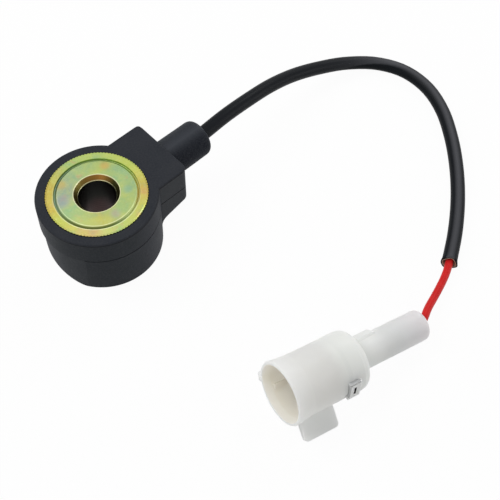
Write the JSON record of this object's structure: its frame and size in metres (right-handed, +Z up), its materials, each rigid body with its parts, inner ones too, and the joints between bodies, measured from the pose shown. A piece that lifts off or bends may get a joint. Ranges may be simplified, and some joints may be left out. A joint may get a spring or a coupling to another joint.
{
  "type": "engine knock sensor",
  "caption": "Ring-shaped engine knock sensor with a knurled, plated bush for a through bolt, a moulded housing, and a sleeved pigtail ending in a white one-way connector.",
  "frame": {"origin": "axis of the bolt bore at the bush's lower end, which stands on the resting plane", "axes": "+Z up the bolt axis towards the knurled flange, +X out along the cable neck"},
  "size_m": [0.1044, 0.0822, 0.0183],
  "materials": {
    "housing_plastic": "matte",
    "plated_steel": "yellow passivated",
    "contact_brass": "satin",
    "ceramic": "matte",
    "film": "satin",
    "steel": "satin",
    "chip": "gloss",
    "tinned_metal": "satin",
    "copper": "satin",
    "sleeve_black": "satin",
    "lining_tan": "matte",
    "wire_red": "satin",
    "connector_white": "satin",
    "seal_rubber": "matte"
  },
  "bodies": {
    "root": {"housing": "housing_plastic", "metal_bush": "plated_steel", "ground_plate": "contact_brass", "piezo_ring": "ceramic", "signal_plate": "contact_brass", "insulating_washer": "film", "insulating_sleeve": "film", "seismic_mass": "steel", "disc_spring": "steel", "clamp_nut": "steel", "shunt_resistor": "chip", "crimp_ferrule": "tinned_metal", "cable_sleeve": "sleeve_black", "sleeve_lining": "lining_tan", "wire_insulation": "wire_red", "wire_core": "copper", "connector_housing": "connector_white", "blade_terminal": "tinned_metal", "wire_seal": "seal_rubber", "terminal_retainer": "connector_white"}
  },
  "joints": []
}
